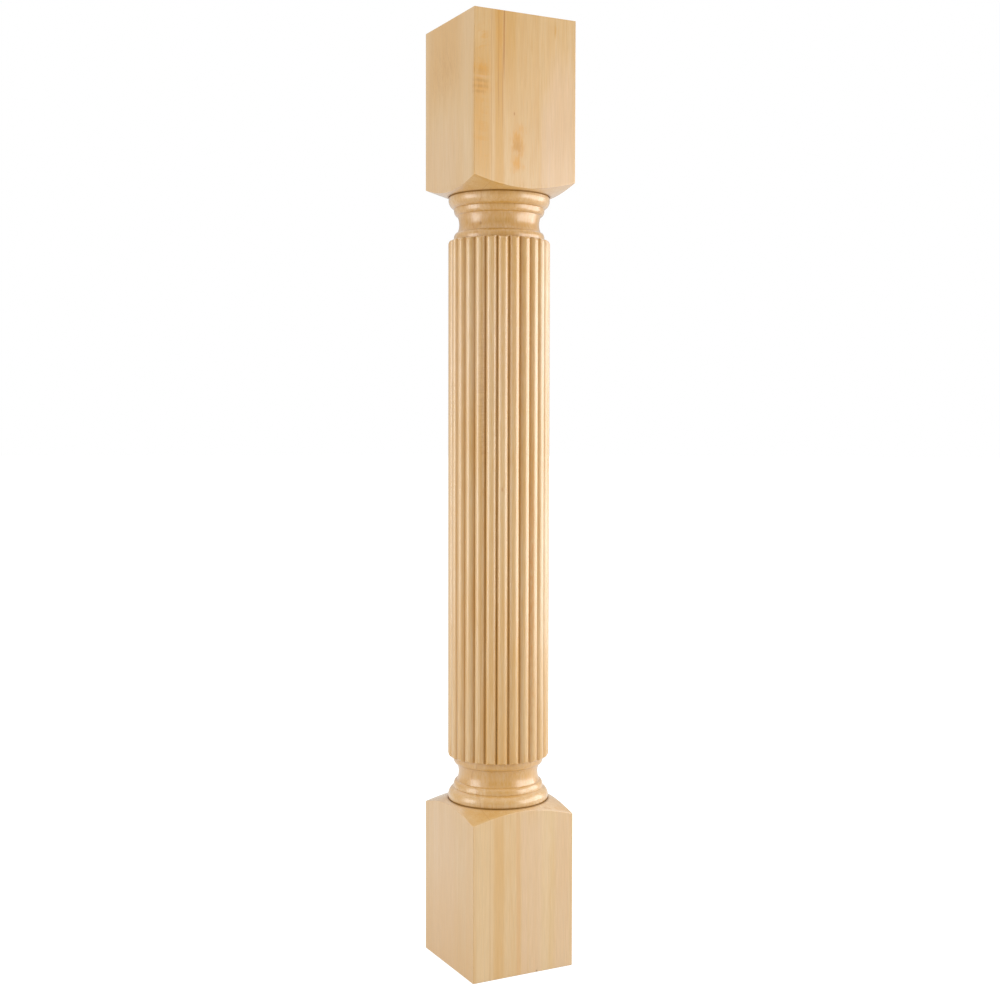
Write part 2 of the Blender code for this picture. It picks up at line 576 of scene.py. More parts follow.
@dataclass(frozen=True)
class LacqueredMaple:
    """Hard maple, glued up from staves, turned, sanded and sprayed with clear lacquer.

    The eye gets a pale even wood with soft tone strips along the grain, a fine fibre, and a
    clear film on top that mirrors the lights softly. Real vessels are about 0.1 mm wide, too
    fine to show in the render, so fibres and threads are drawn five to ten times as wide.

    Attributes:
        name: Name of the material.
        sheen: How the film was rubbed out.
        under_film_roughness: Roughness of the wood under the film.
        film_ior: Refractive index of the film, about 1.5 for lacquer and matched from there.
        film_weight: Share of the surface that the film covers.
        half_width: Half the width of the bar.
        glue_lines: Places across the bar where two staves meet.
        glue_strengths: How plainly each glue line shows.
        glue_core: How far from its middle a glue line starts to fade.
        glue_edge: How far from its middle a glue line has gone.
        stave_tints: Tone of each stave, and its share.
        beyond: A distance that lies past the bar's sides.
        planed_paleness: How far the planed faces are paler than turned wood.
        planed_depths: Depths under a face where that paleness sets in and is full.
        grooves: Turned grooves that hold dark dust and painted shade, as radius and height.
        groove_reach: How far the dust and painted shade reach from the bottom of a groove.
        groove_core: How far from the bottom of a groove the dust and painted shade are at their
            darkest.
        groove_dust_and_shade: Share of the dust and painted shade at their darkest.
        bands: Figure of the broad bands in the wood.
        rings: Figure of the growth rings, which lie 1 to 3 mm apart in hard maple.
        ring_share: Share of the rings beside the bands.
        ring_tones: Tones of bands and rings, each with its level of the figure.
        veils: The warm clouds, and the dark and the pale threads between the rings.
        fibres: Figure of the fibres.
        fibre_levels: Lowest and highest level of the figure that counts.
        fibre_shades: Brightness of the wood at those levels.
        relief_strength: How plainly the fibres' relief shows.
        relief_depth: Depth of that relief.
        sway: Figure of the sway of the strips.
        strip_depths: Depths under a face where its strips set in and are full.
        strips: Tone strips, each laid over those before it.
        fray: Figure of the marks' edges.
        curls: Patches of curly figure.
        marks: Small marks, the warmer tone of the turned mouldings, and painted shade on the head
            moulding.
    """

    name: str = "hard_maple_sanded_and_lacquered"
    sheen: Sheen = Sheen.SATIN
    under_film_roughness: float = 0.36
    film_ior: float = 1.62
    film_weight: float = 1.0
    half_width: float = 63.5
    glue_lines: tuple[float, ...] = (-42.5, 17.0)
    glue_strengths: tuple[float, ...] = (0.35, 0.0)
    glue_core: float = 0.2
    glue_edge: float = 0.6
    stave_tints: tuple[tuple[Tone, float], ...] = (
        (Tone.TAN, 0.3), (Tone.HONEY, 0.3), (Tone.TAN, 0.15))
    beyond: float = 1000.0
    planed_paleness: float = 0.35
    planed_depths: Span = (0.9, 0.2)
    grooves: tuple[Point, ...] = ()
    groove_reach: float = 4.6
    groove_core: float = 2.2
    groove_dust_and_shade: float = 0.85
    bands: Figure = Figure(9.0, 260.0, 2.0)
    rings: Figure = Figure(2.2, 75.0, 3.0)
    ring_share: float = 0.28
    ring_tones: tuple[tuple[Tone, float], ...] = (
        (Tone.PALE, 0.3), (Tone.CREAM, 0.5), (Tone.TAN, 0.68))
    veils: tuple[Veil, ...] = (
        Veil(Figure(30.0, 160.0, 1.0), 0.42, 0.7, Tone.AMBER, 0.6),
        Veil(Figure(1.0, 28.0, 1.0), 0.52, 0.7, Tone.HONEY, 0.8),
        Veil(Figure(1.0, 28.0, 1.0), 0.46, 0.28, Tone.PALE, 0.45),
    )
    fibres: Figure = Figure(0.55, 24.0, 2.0)
    fibre_levels: Span = (0.3, 0.7)
    fibre_shades: Span = (0.94, 1.05)
    relief_strength: float = 0.12
    relief_depth: float = 0.02
    sway: Figure = Figure(40.0, 180.0, 2.0)
    strip_depths: Span = (5.5, 1.5)
    strips: tuple[Strip, ...] = (
        # The head block's front.
        Strip(0.0, 200.0, Tone.HONEY, 0.17, low=820.0, fade=150.0),
        Strip(-54.0, 23.0, Tone.AMBER, 0.62, low=850.0, high=1066.0),
        Strip(-58.5, 9.0, Tone.GOLD, 0.3, low=890.0, high=1035.0),
        Strip(-32.9, 11.4, Tone.AMBER, 0.65, low=830.0),
        Strip(-26.8, 1.7, Tone.RUST, 1.0, low=985.0, fade=45.0),
        Strip(-33.6, 1.2, Tone.RUST, 0.6, low=935.0),
        Strip(-28.6, 1.3, Tone.RUST, 0.5, low=935.0, high=1035.0, fade=40.0),
        Strip(-19.0, 15.0, Tone.AMBER, 0.45, low=940.0, fade=110.0),
        Strip(-22.0, 8.0, Tone.CREAM, 0.4, low=840.0, high=960.0),
        Strip(26.0, 13.0, Tone.ROSE, 0.5, low=840.0, high=1010.0),
        Strip(46.0, 34.0, Tone.ROSE, 0.5, low=840.0, high=1050.0),
        Strip(35.0, 80.0, Tone.UMBER, 0.08, low=830.0, high=985.0, fade=40.0),
        # The foot block's front.
        Strip(-51.0, 24.0, Tone.CREAM, 0.5, high=220.0),
        Strip(0.0, 200.0, Tone.PALE, 0.25, high=220.0),
        Strip(-31.2, 13.0, Tone.AMBER, 0.45, high=220.0),
        Strip(-6.7, 5.0, Tone.ORANGE, 0.25, high=220.0),
        Strip(1.0, 8.0, Tone.ROSE, 0.55, high=220.0),
        Strip(25.0, 16.0, Tone.PALE, 0.4, high=220.0),
        Strip(14.0, 18.0, Tone.ROSE, 0.5, high=220.0),
        Strip(51.0, 22.0, Tone.ROSE, 0.5, high=220.0),
        # The head block's left face.
        Strip(12.0, 92.0, Tone.AMBER, 0.55, low=955.0, fade=70.0, face=Face.LEFT),
        Strip(16.0, 90.0, Tone.ROSE, 0.2, low=840.0, high=990.0, face=Face.LEFT),
        Strip(-46.5, 21.0, Tone.PALE, 0.3, low=840.0, high=980.0, face=Face.LEFT),
        Strip(0.0, 140.0, Tone.ROSE, 0.1, low=800.0, high=970.0, face=Face.LEFT),
        Strip(-42.0, 34.0, Tone.TAN, 0.25, low=930.0, fade=80.0, face=Face.LEFT),
        # The foot block's left face.
        Strip(0.0, 140.0, Tone.UMBER, 0.12, high=220.0, face=Face.LEFT),
        Strip(15.0, 70.0, Tone.ROSE, 0.25, high=220.0, face=Face.LEFT),
        Strip(-54.0, 18.0, Tone.TAN, 0.6, high=220.0, face=Face.LEFT),
        Strip(0.0, 140.0, Tone.AMBER, 0.4, high=150.0, fade=140.0, face=Face.LEFT),
    )
    fray: Figure = Figure(2.5, 9.0, 2.0)
    curls: tuple[CurlPatch, ...] = (
        CurlPatch((-54.0, -63.5, 998.0), (12.0, 8.0, 26.0), Tone.GOLD, 0.7,
                  Figure(18.0, 3.6, 1.0), -4.0),
        CurlPatch((-54.0, -63.5, 1040.0), (12.0, 8.0, 24.0), Tone.GOLD, 0.5,
                  Figure(14.0, 4.5, 1.0), 24.0),
        CurlPatch((-54.0, -63.5, 940.0), (11.0, 8.0, 44.0), Tone.GOLD, 0.5,
                  Figure(18.0, 3.6, 1.0), -4.0),
        CurlPatch((-41.6, -40.9, 660.0), (11.0, 11.0, 150.0), Tone.UMBER, 0.35,
                  Figure(7.0, 1.6, 1.0), 6.0),
        CurlPatch((-63.5, 10.0, 1022.0), (8.0, 46.0, 40.0), Tone.UMBER, 0.4,
                  Figure(1.0, 8.0, 1.0), 14.0, Face.LEFT),
    )
    marks: tuple[Mark, ...] = (
        # The wedge and the bars at the left edge of the head's front, and a streak beside them.
        Mark((-54.6, -63.5, 1007.0), (13.0, 8.0, 8.0), Tone.GOLD, 0.95),
        Mark((-57.0, -63.5, 1004.0), (11.0, 8.0, 5.0), Tone.UMBER, 0.25),
        Mark((-54.0, -63.5, 998.6), (14.0, 8.0, 2.4), Tone.ROSE, 0.35),
        Mark((-54.5, -63.5, 988.0), (14.0, 8.0, 11.0), Tone.GOLD, 0.7),
        Mark((-56.5, -63.5, 994.0), (13.0, 8.0, 2.8), Tone.UMBER, 0.55),
        Mark((-56.5, -63.5, 988.0), (13.0, 8.0, 2.8), Tone.UMBER, 0.55),
        Mark((-57.5, -63.5, 982.0), (11.0, 8.0, 2.6), Tone.UMBER, 0.45),
        Mark((-32.5, -63.5, 1040.0), (5.5, 8.0, 70.0), Tone.GOLD, 0.5),
        # A rosy shade over the upper shaft, a streak and a pin knot on reeds below it.
        Mark((0.0, 0.0, 715.0), (150.0, 150.0, 130.0), Tone.ROSE, 0.4),
        Mark((13.5, -56.6, 450.0), (4.5, 4.0, 230.0), Tone.ORANGE, 0.9),
        Mark((-23.1, -53.3, 549.0), (1.0, 3.0, 4.0), Tone.RUST, 0.9),
        # The edge of the foot's shoulder.
        Mark((32.0, -59.0, 185.2), (11.0, 2.0, 3.0), Tone.RUST, 0.6),
        # A pin knot, gum patches and a fleck on the head's front.
        Mark((-14.3, -63.5, 962.0), (0.9, 3.0, 2.2), Tone.RUST, 0.9),
        Mark((-9.5, -63.5, 931.0), (11.0, 12.0, 25.0), Tone.GOLD, 1.0),
        Mark((-9.5, -63.5, 927.0), (9.0, 12.0, 12.0), Tone.UMBER, 0.35),
        Mark((-11.0, -63.5, 908.0), (10.0, 12.0, 14.0), Tone.GOLD, 1.0),
        Mark((37.0, -63.5, 1058.0), (2.0, 8.0, 10.0), Tone.AMBER, 0.8),
        # A nick at the foot's lower edge, and a knot beside the upper mouldings.
        Mark((17.0, -63.5, 1.5), (1.3, 4.0, 1.8), Tone.BROWN, 0.8),
        Mark((-37.3, -27.4, 846.0), (1.8, 2.2, 3.0), Tone.BROWN, 1.0),
        # The two mouldings: a warmer, darker tone where the turned wood soaks up more finish, and
        # at the head a heavier umber that is painted shade under the head block.
        Mark((0.0, 0.0, 852.0), (150.0, 150.0, 38.0), Tone.UMBER, 0.6),
        Mark((0.0, 0.0, 852.0), (150.0, 150.0, 38.0), Tone.GOLD, 0.35),
        Mark((0.0, 0.0, 221.0), (150.0, 150.0, 38.0), Tone.UMBER, 0.15),
        Mark((0.0, 0.0, 221.0), (150.0, 150.0, 38.0), Tone.GOLD, 0.4),
    )

    def material(self) -> bpy.types.Material:
        """Build the finish as nodes.

        Returns:
            The material.
        """
        material = blank_material(self.name)
        tree = material.node_tree
        wood = WoodSpace.of(tree, self.glue_lines)
        # Dust and painted shade in the grooves at the roots of the two tori.
        dust_and_shade = self._groove_dust_and_shade(wood)
        veils = [(veil.share(wood), veil.tone) for veil in self.veils]
        colour = wood.lay(self._ground(wood), [
            *veils, *self._staves(wood), self._planed(wood), *self._strips(wood),
            *self._marks(wood), (dust_and_shade, Tone.DUST_AND_SHADE)])
        fibre = wood.draw(self.fibres, wood.grain)
        shade = add_node(tree, "ShaderNodeMapRange", inputs={
            "Value": fibre, "From Min": self.fibre_levels[0], "From Max": self.fibre_levels[1],
            "To Min": self.fibre_shades[0], "To Max": self.fibre_shades[1]})
        shaded = add_node(tree, "ShaderNodeVectorMath", {"operation": "SCALE"},
                          {0: colour, "Scale": shade})
        relief = add_node(tree, "ShaderNodeBump", inputs={
            "Strength": self.relief_strength, "Distance": self.relief_depth * MM,
            "Height": fibre})
        # The film is taken away under the grooves' dust and painted shade, so that no reflection
        # lightens them.
        film = add_node(tree, "ShaderNodeMapRange", inputs={
            "Value": dust_and_shade, "To Min": self.film_weight, "To Max": 0.0})
        shader = add_node(tree, "ShaderNodeBsdfPrincipled", inputs={
            "Base Color": wood.lay(shaded, self._glue_lines(wood)), "Normal": relief,
            "Roughness": self.under_film_roughness, "Coat Weight": film,
            "Coat Roughness": self.sheen.value, "Coat IOR": self.film_ior})
        add_node(tree, "ShaderNodeOutputMaterial", inputs={"Surface": shader})
        return material

    def _ground(self, wood: WoodSpace) -> Node:
        """Draw the wood's ground colour: broad bands with finer growth rings in them.

        Args:
            wood: The wood's coordinates.

        Returns:
            A node that gives the colour.
        """
        level = add_node(wood.tree, "ShaderNodeMix", {"data_type": "FLOAT"}, {
            "Factor": self.ring_share, VALUE_A: wood.draw(self.bands, wood.grain),
            VALUE_B: wood.draw(self.rings, wood.grain)})
        ramp = add_node(wood.tree, "ShaderNodeValToRGB", inputs={"Fac": level})
        stops = ramp.color_ramp.elements
        stops.new(self.ring_tones[1][1])
        for stop, (tone, position) in zip(stops, self.ring_tones, strict=True):
            stop.position = position
            stop.color = linear_colour(tone.value)
        return ramp

    def _staves(self, wood: WoodSpace) -> list[Layer]:
        """Tint each stave.

        Args:
            wood: The wood's coordinates.

        Returns:
            The tints from left to right.
        """
        edges = (-self.beyond, *self.glue_lines, self.beyond)
        layers = []
        for (tone, strength), left, right in zip(self.stave_tints, edges, edges[1:]):
            inside = add_node(wood.tree, "ShaderNodeMath", {"operation": "COMPARE"}, {
                0: wood.axes.outputs["X"], 1: (left + right) / 2, 2: (right - left) / 2})
            share = add_node(wood.tree, "ShaderNodeMath", {"operation": "MULTIPLY"},
                             {0: inside, 1: strength})
            layers.append((share, tone))
        return layers

    def _planed(self, wood: WoodSpace) -> Layer:
        """Pale the planed faces, which soak up less of the finish than turned wood.

        Args:
            wood: The wood's coordinates.

        Returns:
            The paleness as a layer.
        """
        sides = [add_node(wood.tree, "ShaderNodeMath", {"operation": "ABSOLUTE"},
                          {0: wood.axes.outputs[axis]}) for axis in ("X", "Y")]
        out = add_node(wood.tree, "ShaderNodeMath", {"operation": "MAXIMUM"},
                       {0: sides[0], 1: sides[1]})
        start, end = (self.half_width - depth for depth in self.planed_depths)
        share = add_node(wood.tree, "ShaderNodeMapRange", inputs={
            "Value": out, "From Min": start, "From Max": end, "To Max": self.planed_paleness})
        return share, Tone.CREAM

    def _strips(self, wood: WoodSpace) -> list[Layer]:
        """Draw the tone strips, each on its own face.

        Args:
            wood: The wood's coordinates.

        Returns:
            The strips in order.
        """
        sway = wood.draw(self.sway, wood.grain)
        start, end = (depth - self.half_width for depth in self.strip_depths)
        on_face = {face: add_node(wood.tree, "ShaderNodeMapRange", inputs={
            "Value": wood.axes.outputs[face.outward], "From Min": start, "From Max": end})
            for face in Face}
        return [(strip.share(wood, sway, on_face[strip.face]), strip.tone)
                for strip in self.strips]

    def _marks(self, wood: WoodSpace) -> list[Layer]:
        """Draw the patches of curly figure, and then the other marks."""
        fray = wood.draw(self.fray, wood.place)
        return [(mark.share(wood, fray), mark.tone) for mark in (*self.curls, *self.marks)]

    def _groove_dust_and_shade(self, wood: WoodSpace) -> Node:
        """Find the dark dust that sanding and polishing leave in the grooves, with painted shade
        laid in them and round their mouths.

        Args:
            wood: The wood's coordinates.

        Returns:
            A node that gives its share.
        """
        ring_space = add_node(wood.tree, "ShaderNodeCombineXYZ", inputs={
            "X": wood.from_axis(wood.place), "Y": wood.axes.outputs["Z"]})
        nearest: float | Node = self.groove_reach
        for groove in self.grooves:
            away = add_node(wood.tree, "ShaderNodeVectorMath", {"operation": "DISTANCE"},
                            {0: ring_space, 1: (*groove, 0.0)})
            nearest = add_node(wood.tree, "ShaderNodeMath", {"operation": "MINIMUM"},
                               {0: nearest, 1: away})
        return add_node(wood.tree, "ShaderNodeMapRange", {"interpolation_type": "SMOOTHSTEP"}, {
            "Value": nearest, "From Min": self.groove_reach, "From Max": self.groove_core,
            "To Max": self.groove_dust_and_shade})

    def _glue_lines(self, wood: WoodSpace) -> list[Layer]:
        """Draw the thin lines where the staves are glued.

        Args:
            wood: The wood's coordinates.

        Returns:
            The lines from left to right.
        """
        layers = []
        for glue_line, strength in zip(self.glue_lines, self.glue_strengths):
            offset = add_node(wood.tree, "ShaderNodeMath", {"operation": "SUBTRACT"},
                              {0: wood.axes.outputs["X"], 1: glue_line})
            away = add_node(wood.tree, "ShaderNodeMath", {"operation": "ABSOLUTE"}, {0: offset})
            share = add_node(wood.tree, "ShaderNodeMapRange", inputs={
                "Value": away, "From Min": self.glue_edge, "From Max": self.glue_core,
                "To Max": strength})
            layers.append((share, Tone.RUST))
        return layers


@dataclass(frozen=True)
class SawnEndGrain:
    """End grain of hard maple, sawn, sanded and sealed with the same lacquer.

    The eye gets a darker, matt face with the growth rings' arcs across each stave.

    Attributes:
        name: Name of the material.
        sheen: How the lacquer was rubbed out.
        specular: How strongly the sealed grain mirrors the light.
        ring_spacing: Distance from one growth ring to the next.
        ring_levels: Levels of a ring's wave where the late wood sets in and is full.
        heart_distance: How far behind the bar's axis the heart of the tree lay.
        wander: How far the rings wander from circles.
        wander_width: Size of that wander along a ring.
        wander_layers: How many finer layers the wander has.
        early_wood: Colour of the early wood.
        late_wood: Colour of the late wood.
    """

    name: str = "hard_maple_end_grain_sealed"
    sheen: Sheen = Sheen.MATT
    specular: float = 0.4
    ring_spacing: float = 2.6
    ring_levels: Span = (0.2, 1.0)
    heart_distance: float = 70.0
    wander: float = 9.0
    wander_width: float = 20.0
    wander_layers: float = 2.0
    early_wood: str = "CBA06B"
    late_wood: str = "AE7F4B"

    def material(self) -> bpy.types.Material:
        """Build the finish as nodes.

        Returns:
            The material.
        """
        material = blank_material(self.name)
        tree = material.node_tree
        wood = WoodSpace.of(tree)
        centred = add_node(tree, "ShaderNodeVectorMath", {"operation": "ADD"},
                           {0: wood.place, 1: (0.0, self.heart_distance, 0.0)})
        wander = add_node(tree, "ShaderNodeTexNoise", inputs={
            "Vector": wood.place, "Scale": 1 / self.wander_width, "Detail": self.wander_layers})
        bent = add_node(tree, "ShaderNodeMath", {"operation": "MULTIPLY_ADD"},
                        {0: wander, 1: self.wander, 2: wood.from_axis(centred)})
        turns = add_node(tree, "ShaderNodeMath", {"operation": "MULTIPLY"},
                         {0: bent, 1: math.tau / self.ring_spacing})
        wave = add_node(tree, "ShaderNodeMath", {"operation": "SINE"}, {0: turns})
        share = add_node(tree, "ShaderNodeMapRange", inputs={
            "Value": wave, "From Min": self.ring_levels[0], "From Max": self.ring_levels[1]})
        colour = add_node(tree, "ShaderNodeMix", {"data_type": "RGBA"}, {
            "Factor": share, COLOUR_A: linear_colour(self.early_wood),
            COLOUR_B: linear_colour(self.late_wood)})
        shader = add_node(tree, "ShaderNodeBsdfPrincipled", inputs={
            "Base Color": colour, "Roughness": self.sheen.value,
            "Specular IOR Level": self.specular})
        add_node(tree, "ShaderNodeOutputMaterial", inputs={"Surface": shader})
        return material


@dataclass
class SquareBar:
    """The square bar that the post is turned from.

    Attributes:
        width: Width over two opposite faces.
        height: Full height of the post.
        arris: Radius of the eased long edges.
        end_ease: Size of the easing round the sawn ends.
        shoulder_ease: Size of the easing where a shoulder meets a face.
    """

    width: float
    height: float
    arris: float = 0.6
    end_ease: float = 0.9
    shoulder_ease: float = 0.5

    def reach(self, angle: float) -> float:
        """Return how far the bar's side lies from the axis in a direction.

        Args:
            angle: Direction round the axis, in radians.

        Returns:
            The distance in millimetres.
        """
        longer = max(abs(math.cos(angle)), abs(math.sin(angle)))
        shorter = min(abs(math.cos(angle)), abs(math.sin(angle)))
        half = self.width / 2
        centre = half - self.arris
        if half * shorter / longer <= centre:
            return half / longer
        along = centre * (longer + shorter)
        return along + math.sqrt(along * along - 2 * centre * centre + self.arris * self.arris)

    def corner_angles(self, steps: int = 4) -> list[float]:
        """Find the directions that draw the eased long edges.

        Args:
            steps: Pieces in each edge.

        Returns:
            The directions, with one more on either side of each edge.
        """
        half = self.width / 2
        centre = half - self.arris
        turns = [math.pi / 4 * (2 * step / steps - 1) for step in range(steps + 1)]
        spread = [math.atan2(centre + self.arris * math.sin(math.pi / 4 + turn),
                             centre + self.arris * math.cos(math.pi / 4 + turn)) for turn in turns]
        beside = math.atan2(centre - self.arris / 2, half)
        first_corner = [beside, *spread, math.pi / 2 - beside]
        return [angle + quarter * math.pi / 2 for quarter in range(4) for angle in first_corner]


@dataclass
class ReededShaft:
    """The shaft between the mouldings, worked into reeds.

    Attributes:
        crest: Radius over the reeds.
        reeds: Number of reeds.
        half_arc: How far round each reed's rounding turns to either side of its crest.
        turn: How far the reeds stand off square to the bar's faces.
        reed_steps: Columns of the mesh in each reed.
        rows: Rows of the mesh between the reeds' ends.
        land: Radial width of the flat on each reed's end.
        round_over: Height over which a reed's end rounds over to its crest.
        valley_land: Width of that flat in the valleys, as a share of the reed's end there.
    """

    crest: float
    reeds: int = 26
    half_arc: float = math.radians(82.0)
    turn: float = math.radians(-1.6)
    reed_steps: int = 14
    rows: int = 6
    land: float = 3.5
    round_over: float = 3.6
    valley_land: float = 0.55

    @property
    def rounding(self) -> float:
        """Radius of one reed's rounding."""
        slope = math.tan(math.pi / self.reeds)
        side = math.sin(self.half_arc) + (1 - math.cos(self.half_arc)) * slope
        return self.crest * slope / side

    @property
    def valley(self) -> float:
        """Radius in the valleys between reeds."""
        return self.radius(self.crest_angle(0) + math.pi / self.reeds)

    def crest_angle(self, reed: int) -> float:
        """Return the direction of a reed's crest."""
        return -math.pi / 2 + self.turn + (2 * reed + 1) * math.pi / self.reeds

    def angles(self) -> list[float]:
        """Find the directions that draw the reeds.

        Returns:
            The directions, closer together towards the valleys.
        """
        centre = self.crest - self.rounding
        directions = []
        for reed in range(self.reeds):
            for step in range(self.reed_steps):
                turned = self.half_arc * (2 * step / self.reed_steps - 1)
                out = centre + self.rounding * math.cos(turned)
                across = self.rounding * math.sin(turned)
                directions.append(self.crest_angle(reed) + math.atan2(across, out))
        return directions

    def radius(self, angle: float) -> float:
        """Return the shaft's radius in a direction.

        Args:
            angle: Direction round the axis, in radians.

        Returns:
            The radius in millimetres.
        """
        pitch = math.tau / self.reeds
        off = (angle - self.crest_angle(0) + pitch / 2) % pitch - pitch / 2
        centre = self.crest - self.rounding
        across = centre * math.sin(off)
        return centre * math.cos(off) + math.sqrt(self.rounding ** 2 - across ** 2)

    def end_knots(self, angle: float, inner: float, start: float, steps: int = 6) -> list[Knot]:
        """Draw a reed's end in one direction: a flat, then the rounding over to the crest.

        Args:
            angle: Direction round the axis.
            inner: Radius of the fillet that the reed stands on.
            start: Distance of the reeds' ends from the root of the moulding.
            steps: Pieces in the rounding.

        Returns:
            The outline's knots from the fillet outwards.
        """
        outer = self.radius(angle)
        edge = inner + self.land
        depth = self.crest - edge
        split = edge if outer > edge else inner + self.valley_land * (outer - inner)
        knots = [Knot(inner, start), Knot((inner + split) / 2, start), Knot(split, start)]
        for step in range(1, steps + 1):
            radius = split + (outer - split) * math.sin(math.pi / 2 * step / steps)
            share = min(max((radius - edge) / depth, 0.0), 1.0)
            rise = self.round_over * (1 - math.sqrt(1 - share * share))
            knots.append(Knot(radius, start + rise))
        return knots


@dataclass
class EndMoulding:
    """The turned moulding at an end of the shaft, from its root at the shoulder to the reeds.

    Attributes:
        root_inset: How far the root of the torus lies inside the bar's faces.
        torus_height: Height of the torus.
        torus_bulge: How far the torus stands out from its chord.
        notch_width: Width of the groove between torus and ovolo.
        notch_depth: Depth of that groove.
        ovolo_height: Height of the ovolo.
        ovolo_step: How far the ovolo draws in.
        cove_height: Height of the cove.
        cove_depth: How far the cove draws in from its chord.
        quarter_round_height: Height of the quarter round above the cove.
        fillet_height: Height of the fillet under the reeds' ends.
        fillet_step: How far the fillet lies inside the valleys of the reeds.
        edge_ease: Size of the rounding on turned edges.
        torus_steps: Pieces in the torus.
        cove_steps: Pieces in the cove.
        round_steps: Pieces in the ovolo, and in the quarter round.
    """

    root_inset: float = 7.3
    torus_height: float = 15.7
    torus_bulge: float = 3.65
    notch_width: float = 0.7
    notch_depth: float = 0.45
    ovolo_height: float = 7.9
    ovolo_step: float = 4.1
    cove_height: float = 18.9
    cove_depth: float = 2.0
    quarter_round_height: float = 6.1
    fillet_height: float = 3.3
    fillet_step: float = 1.2
    edge_ease: float = 0.3
    torus_steps: int = 16
    cove_steps: int = 10
    round_steps: int = 8

    @property
    def height(self) -> float:
        """Distance from the root of the torus to the ends of the reeds."""
        return (self.torus_height + self.ovolo_height + self.cove_height
                + self.quarter_round_height + self.fillet_height)

    def fillet_radius(self, shaft: ReededShaft) -> float:
        """Return the radius of the fillet that the reeds stand on."""
        return shaft.valley - self.fillet_step

    def knots(self, root: float, outer: float) -> list[Knot]:
        """Draw the moulding.

        Args:
            root: Radius of the torus at its root.
            outer: Radius of the fillet.

        Returns:
            The outline's knots from the root of the torus to below the reeds' ends.
        """
        inner = outer - self.ovolo_step
        ovolo_start = self.torus_height
        cove_start = ovolo_start + self.ovolo_height
        cove_end = cove_start + self.cove_height
        round_end = cove_end + self.quarter_round_height
        torus = bulged_arc((root, 0.0), (outer, ovolo_start - self.notch_width / 2),
                           self.torus_bulge, self.torus_steps)
        notch = [Knot(outer - self.notch_depth, ovolo_start)]
        ovolo = quarter_round((outer, ovolo_start + self.notch_width / 2), (inner, cove_start),
                              self.round_steps)
        cove = bulged_arc((inner, cove_start), (inner, cove_end), -self.cove_depth,
                          self.cove_steps)
        quarter = quarter_round((outer, round_end), (inner, cove_end), self.round_steps)
        return torus + notch + ovolo + cove[1:-1] + quarter[::-1]


